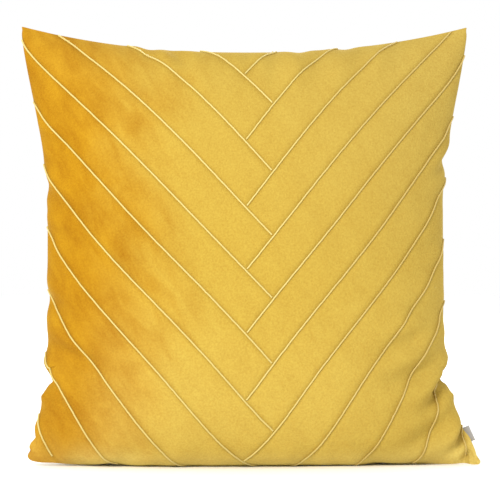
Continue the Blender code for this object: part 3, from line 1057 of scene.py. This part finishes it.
    def _fill(self, cover: bpy.types.Object) -> None:
        """Blows the gathered cloth up, and keeps it near the form."""
        mesh = cover.data
        start = vertex_values(mesh, "co")
        held = self._read(mesh, "held", 1)
        group = cover.vertex_groups.new(name="held")
        for index, weight in enumerate(held):
            if weight > 0.001:
                group.add([index], float(weight), "REPLACE")
        cloth = cover.modifiers.new("cloth", "CLOTH")
        settings = cloth.settings
        settings.quality = 6
        settings.mass = 0.25
        settings.tension_stiffness = 30
        settings.compression_stiffness = 12
        settings.shear_stiffness = 6
        settings.bending_stiffness = 0.35
        settings.tension_damping = 12
        settings.compression_damping = 12
        settings.shear_damping = 12
        settings.bending_damping = 2
        settings.air_damping = 6
        settings.use_pressure = True
        settings.uniform_pressure_force = self.pressure
        settings.vertex_group_mass = group.name
        settings.pin_stiffness = 1.0
        settings.effector_weights.gravity = 0.0
        cloth.collision_settings.use_collision = False
        cloth.collision_settings.use_self_collision = False
        scene = bpy.context.scene
        cloth.point_cache.frame_start = 1
        cloth.point_cache.frame_end = self.frames
        for frame_number in range(1, self.frames + 1):
            scene.frame_set(frame_number)
        graph = bpy.context.evaluated_depsgraph_get()
        settled = vertex_values(cover.evaluated_get(graph).data, "co")
        cover.modifiers.remove(cloth)
        scene.frame_set(1)
        move = settled - start
        reach = np.linalg.norm(move, axis=1, keepdims=True)
        LOG.info("cloth moved %.1f mm at most, %.1f mm on average", reach.max() * 1000, reach.mean() * 1000)
        move *= np.minimum(1.0, self.give / np.maximum(reach, 1e-9))
        move_vertices(mesh, start + move)

    def _lay_folds(self, cover: bpy.types.Object) -> None:
        """Sinks the folds into both panels, so that they run on round the seams.

        A fold at a side seam draws the cloth sideways there, on both panels alike, and notches the seam.
        """
        mesh = cover.data
        spots, normals = vertex_values(mesh, "co"), vertex_values(mesh, "normal")
        flats = self._read(mesh, "flat", 3)
        across, up = flats[:, 0], flats[:, 1]
        near_zip = np.exp(-(((spots[:, 2] - self.form.zip_height) / self.zip_calm) ** 2))
        near_zip *= self._read(mesh, "face_side", 1) > 0
        near_zip *= np.clip((self.zip_calm_half - np.abs(across)) / self.zip_calm_ease, 0, 1)
        sideways = np.clip((np.abs(across) - self.notch_start) / self.notch_ease, 0, 1)[:, None]
        notched = normals * (1 - sideways)
        notched[:, 0] += np.sign(across) * sideways[:, 0]
        for at_seam, aim in ((False, normals), (True, notched)):
            folds = [fold for fold in self.folds if (abs(fold.u) > self.seam_folds) == at_seam]
            sinks = [fold.sink(across, up) for fold in folds]
            spots = spots - aim * (sum(sinks) * (1 - near_zip))[:, None]
        move_vertices(mesh, spots)

    def _finish(self, cover: bpy.types.Object) -> None:
        """Smooths the cloth, and keeps its seams crisp."""
        mesh = cover.data
        flats = self._read(mesh, "flat", 3)
        half = PATTERN.side / 2 - 1e-4
        rim = (np.abs(flats[:, 0]) > half) | (np.abs(flats[:, 1]) > half)
        crease = mesh.attributes.get("crease_edge") or mesh.attributes.new("crease_edge", "FLOAT", "EDGE")
        values = np.zeros(len(mesh.edges), np.float32)
        for edge in mesh.edges:
            a, b = edge.vertices
            same = abs(flats[a, 0] - flats[b, 0]) < 1e-5 or abs(flats[a, 1] - flats[b, 1]) < 1e-5
            if rim[a] and rim[b] and same:
                on_side = abs(flats[a, 0]) > half and abs(flats[b, 0]) > half
                on_end = abs(flats[a, 1]) > half and abs(flats[b, 1]) > half
                values[edge.index] = 0.85 if on_side or on_end else 0.0
        crease.data.foreach_set("value", values)
        smooth = cover.modifiers.new("smooth", "SUBSURF")
        smooth.levels = smooth.render_levels = 1
        smooth.use_creases = True
        apply_all(cover)
        select_only(cover)
        bpy.ops.object.shade_smooth_by_angle(angle=math.radians(60))


class Surface:
    """The front panel after it has settled, as a point for every place on the flat panel.

    Args:
        cover: the finished cover.
    """

    def __init__(self, cover: bpy.types.Object) -> None:
        mesh = cover.data
        vertex_of_loop = np.zeros(len(mesh.loops), np.int32)
        mesh.loops.foreach_get("vertex_index", vertex_of_loop)
        flat = np.zeros(len(mesh.loops) * 2, np.float32)
        mesh.uv_layers["panel"].data.foreach_get("uv", flat)
        flat = flat.reshape(-1, 2)
        front = flat[:, 0] < 1.5
        picks, first = np.unique(vertex_of_loop[front], return_index=True)
        self.flat = ((flat[front] - 0.5) * PATTERN.side)[first]
        self.spots = vertex_values(mesh, "co")[picks]
        self.normals = vertex_values(mesh, "normal")[picks]

    def at(self, u: float, v: float) -> tuple[Vector, Vector]:
        """Returns: the point at a place of the flat panel, and its normal."""
        near = np.argsort((self.flat[:, 0] - u) ** 2 + (self.flat[:, 1] - v) ** 2)[:9]
        offset = self.flat[near] - (u, v)
        weights = np.exp(-(offset**2).sum(1) / 0.0017**2) + 1e-9
        basis = np.c_[np.ones(len(near)), offset] * np.sqrt(weights)[:, None]
        fit, *_ = np.linalg.lstsq(basis, self.spots[near] * np.sqrt(weights)[:, None], rcond=None)
        normal = (self.normals[near] * weights[:, None]).sum(0)
        return Vector(fit[0]), Vector(normal).normalized()


@dataclass
class Insert:
    """The stuffed insert: a cotton casing and the fibre inside it.

    Args:
        form: the form of the cover that it fills.
        centre: the point that it is smaller about.
        casing_scale: its size against the cover's.
        filling_scale: the filling's size against the cover's.
        slack: how much of its own scaled depth it fills.
        cells: cells along a side of its panels.
    """

    form: Form
    centre: tuple[float, float, float] = (0.0, 0.0, 0.165)
    casing_scale: tuple[float, float, float] = (0.900, 0.800, 0.915)
    filling_scale: tuple[float, float, float] = (0.865, 0.755, 0.880)
    slack: float = 0.92
    cells: int = 40

    def build(self, finishes: Finishes) -> list[bpy.types.Object]:
        """Returns: the casing and the filling."""
        casing = self._cushion("insert_casing", self.casing_scale)
        finishes.dress(casing, "insert_ticking")
        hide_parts("insert_casing_front", "insert_casing_back")
        filling = self._cushion("insert_filling", self.filling_scale)
        finishes.dress(filling, "fibre_filling")
        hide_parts("filling")
        for piece in (casing, filling):
            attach(piece, "pillow")
        return [casing, filling]

    def _cushion(self, name: str, scale: tuple[float, float, float]) -> bpy.types.Object:
        """Returns: two panels of the cover's form, made smaller and joined at their rims."""
        halves = []
        for side in Side:
            bpy.ops.mesh.primitive_grid_add(x_subdivisions=self.cells, y_subdivisions=self.cells, size=2)
            half = take_active(f"{name}_{side.name.lower()}")
            for vertex in half.data.vertices:
                x, y, z = self.form.point(Side.FRONT, vertex.co.x, (vertex.co.y + 1) / 2)
                seam = self.form.stand(x, 0, z)[1]
                out = y - seam if side is Side.FRONT else seam - y
                scaled = Vector(a * b for a, b in zip((x, 0, z - self.centre[2]), scale))
                z = scaled.z + self.centre[2]
                vertex.co = (scaled.x, self.form.stand(x, 0, z)[1] + out * scale[1] * self.slack, z)
            halves.append(half)
        cushion = sew_together(halves, name)
        cushion.data.shade_smooth()
        return cushion


@dataclass
class Cording:
    """The cords sewn along the herringbone.

    Args:
        radius: of a cord.
        seat: how far its middle stands in front of the velvet.
        step: between its points.
        sway: how far it strays from its line.
        seam_margin: where it stops short of the seams.
        low_margin: where it stops short of the bottom seam.
    """

    radius: float = 0.00078
    seat: float = 0.00056
    step: float = 0.003
    sway: float = 0.0004
    seam_margin: float = 0.0015
    low_margin: float = 0.012

    def build(self, surface: Surface, finishes: Finishes, nodes: Iterable[str]) -> list[bpy.types.Object]:
        """Returns: a tube for each cord of the pattern."""
        made = []
        for cord in PATTERN.cords():
            stretch = self._stretch(cord)
            if stretch is None:
                continue
            tube = self._tube(cord.name + "_satin", stretch, surface)
            finishes.dress(tube, "satin_cord")
            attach(tube, "pillow")
            if cord.name in nodes:
                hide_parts(cord.name)
            made.append(tube)
        LOG.info("%d cords", len(made))
        return made

    def _stretch(self, cord: Cord) -> list[tuple[float, float]] | None:
        """Returns: the ends of the part of a cord's line that lies on the panel, or None."""
        edge = PATTERN.side / 2 - self.seam_margin
        lowest = -PATTERN.side / 2 + self.low_margin
        first, last = 0.0, 1.0
        for axis, low, high in ((0, -edge, edge), (1, lowest, edge)):
            run = cord.end[axis] - cord.start[axis]
            limits = sorted(((low - cord.start[axis]) / run, (high - cord.start[axis]) / run))
            first, last = max(first, limits[0]), min(last, limits[1])
        if last <= first:
            return None
        return [tuple(a + (b - a) * t for a, b in zip(cord.start, cord.end)) for t in (first, last)]

    def _tube(self, name: str, stretch: list[tuple[float, float]], surface: Surface) -> bpy.types.Object:
        """Returns: a cord laid on the settled velvet, kept off the floor."""
        (u0, v0), (u1, v1) = stretch
        steps = max(3, math.ceil(math.dist(*stretch) / self.step))
        spots = []
        for k in range(steps + 1):
            t = k / steps
            sway = self.sway * noise.noise(Vector((60 * t, u0 * 90, v0 * 90)))
            spot, normal = surface.at(u0 + (u1 - u0) * t + sway, v0 + (v1 - v0) * t)
            middle = spot + normal * self.seat
            middle.z = max(middle.z, self.radius)
            spots.append(middle)
        return draw_wire(name, spots, self.radius, 2)


@dataclass
class ZipChain:
    """The two nylon coils along the zip.

    Args:
        form: the pillow's form, which sets the arc.
        inset: the chain's middle, inside the velvet's outer face.
        turn_pitch: length of one turn of the coil.
        turn_points: points in one turn.
        wire: radius of the coil's wire.
        low: nearest edge of a coil to the zip's middle.
        high: its furthest edge.
        thick: its thickness.
        end_gap: where it stops short of the zip's ends.
    """

    form: Form
    inset: float = 0.0014
    turn_pitch: float = 0.0014
    turn_points: int = 10
    wire: float = 0.00028
    low: float = 0.0008
    high: float = 0.0028
    thick: float = 0.0017
    end_gap: float = 0.001

    def build(self, finishes: Finishes) -> list[bpy.types.Object]:
        """Returns: the upper and the lower coil."""
        made = []
        for name, sign in (("upper", 1), ("lower", -1)):
            coil = draw_wire(f"zip_coil_{name}_turns", self._turns(sign), self.wire, 1)
            finishes.dress(coil, "nylon_coil")
            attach(coil, "pillow")
            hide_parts(f"zip_coil_{name}")
            made.append(coil)
        return made

    def _turns(self, sign: int) -> list[Vector]:
        """Returns: the points of one coil, above the zip's middle for a sign of 1 and below it for -1."""
        form = self.form
        depth = form.back.at(form.zip_share)[0]
        radius = form.width_at(form.zip_height) ** 2 / (2 * form.side_sag * depth)
        centre = Vector(form.stand(0, depth - radius, form.zip_height))
        chain = radius - self.inset
        count = int(2 * form.zip_half / self.turn_pitch) * self.turn_points
        mean, swing = (self.low + self.high) / 2, (self.high - self.low) / 2 - self.wire
        spots = []
        for k in range(count + 1):
            along = -form.zip_half + self.end_gap + (2 * form.zip_half - 2 * self.end_gap) * k / count
            angle = 2 * math.pi * k / self.turn_points
            height = sign * (mean + swing * math.cos(angle))
            out = chain + (self.thick / 2 - self.wire) * math.sin(angle)
            turn = along / chain
            spots.append(centre + Vector((
                -out * math.sin(turn), out * math.cos(turn) + form.lean * height, height)))
        return spots


@dataclass
class Label:
    """The care label: satin tape folded in half, its ends caught in the side seam.

    Args:
        width: along the seam.
        reach: out from the seam.
        cut_length: of the tape before it was folded, with the ends that the seam hides; not used.
        gap: between the two layers at the seam.
        thickness: of the tape.
        curl: how far it waves out of its plane.
    """

    width: float = 0.015
    reach: float = 0.0073
    cut_length: float = 0.0201
    gap: float = 0.0007
    thickness: float = 0.00022
    curl: float = 0.0012

    def build(self, frame: dict, finishes: Finishes) -> bpy.types.Object:
        """Returns: the folded label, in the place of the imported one."""
        joint = next(j for j in frame["joints"] if j["name"] == "label_fold")
        up = Vector(joint["axis"]).normalized()
        out = (Vector((1, 0, 0)) - up * up.x).normalized()
        axes = Matrix((out, up.cross(out), up)).transposed().to_4x4()
        bpy.ops.mesh.primitive_grid_add(x_subdivisions=28, y_subdivisions=10, size=2)
        label = take_active("care_label_tape")
        bend = self.gap / 2
        straight = self.reach - bend
        whole = 2 * straight + math.pi * bend
        bend_end = straight + math.pi * bend
        for vertex in label.data.vertices:
            along = (vertex.co.x + 1) / 2 * whole
            if along < straight:
                x, y = along, -bend
            elif along < bend_end:
                turn = (along - straight) / bend
                x, y = straight + bend * math.sin(turn), -bend * math.cos(turn)
            else:
                x, y = whole - along, bend
            z = vertex.co.y * self.width / 2
            y += self.curl * math.sin(90 * x) * math.sin(z * 170 + 0.6) * x / self.reach
            vertex.co = (x, y, z)
        label.data.transform(Matrix.Translation(Vector(joint["pos_m"])) @ axes)
        wall = label.modifiers.new("wall", "SOLIDIFY")
        wall.thickness = self.thickness
        wall.offset = 0
        apply_all(label)
        label.data.shade_smooth()
        finishes.dress(label, "label_satin")
        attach(label, "care_label")
        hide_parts("care_label")
        return label


@dataclass
class Studio:
    """Floor, lights and camera.

    Args:
        azimuth: of the camera, in degrees to the right of straight ahead.
        elevation: above level, in degrees.
        distance: from the point it looks at.
        lens: focal length, in millimetres.
        target: the point it looks at.
        floor_side: side of the floor.
        floor_gap: how far it lies below the pillow.
        lamp_target: the point that the lamps are turned to.
    """

    azimuth: float = -3.0
    elevation: float = 1.5
    distance: float = 3.0
    lens: float = 226.8
    target: tuple[float, float, float] = (0.0035, 0.0, 0.2033)
    floor_side: float = 8.0
    floor_gap: float = 0.0004
    lamp_target: tuple[float, float, float] = (0.0, 0.0, 0.2)

    def build(self) -> None:
        """Sets up the studio."""
        bpy.ops.mesh.primitive_plane_add(size=self.floor_side, location=(0, 0, -self.floor_gap))
        floor = take_active("floor")
        graph = Graph("white_floor")
        floor.data.materials.append(graph.finish({"Base Color": (0.98, 0.98, 0.98), "Roughness": 0.9}))
        world = bpy.data.worlds.new("studio_white")
        world.use_nodes = True
        world.node_tree.nodes["Background"].inputs["Color"].default_value = (1, 1, 1, 1)
        world.node_tree.nodes["Background"].inputs["Strength"].default_value = 1.0
        scene = bpy.context.scene
        scene.world = world
        scene.view_settings.view_transform = "Standard"
        self._area("key", (-1.05, -2.20, 1.45), 0.9, 54, (1.0, 0.985, 0.96))
        self._area("rear", (0.9, 2.3, 1.3), 1.4, 40, (1.0, 0.985, 0.96))
        camera = bpy.data.cameras.new("camera")
        camera.lens = self.lens
        camera.clip_start = 0.05
        eye = bpy.data.objects.new("camera", camera)
        scene.collection.objects.link(eye)
        turn, rise = math.radians(self.azimuth), math.radians(self.elevation)
        back = Vector((math.sin(turn) * math.cos(rise), -math.cos(turn) * math.cos(rise), math.sin(rise)))
        eye.location = Vector(self.target) + back * self.distance
        eye.rotation_euler = (-back).to_track_quat("-Z", "Y").to_euler()
        scene.camera = eye

    def _area(self, name: str, place: Color, size: float, power: float, color: Color) -> None:
        light = bpy.data.lights.new(name, "AREA")
        light.size = size
        light.energy = power
        light.color = color
        lamp = bpy.data.objects.new(name, light)
        lamp.location = place
        lamp.rotation_euler = (Vector(self.lamp_target) - Vector(place)).to_track_quat("-Z", "Y").to_euler()
        bpy.context.scene.collection.objects.link(lamp)


def main() -> None:
    """Builds, dresses and lights the pillow."""
    logging.basicConfig(level=logging.INFO, format="%(message)s")
    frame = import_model()
    finishes = Finishes()
    finishes.dress_frame(frame)
    cover_maker = Cover()
    cover = finishes.dress(cover_maker.build(), "velvet")
    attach(cover, "pillow")
    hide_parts("front_panel", "back_panel_lower", "back_panel_upper")
    LOG.info("cover: %d faces", len(cover.data.polygons))
    Insert(cover_maker.form).build(finishes)
    Cording().build(Surface(cover), finishes, frame["nodes"])
    ZipChain(cover_maker.form).build(finishes)
    Label().build(frame, finishes)
    Studio().build()


if __name__ == "__main__":
    main()
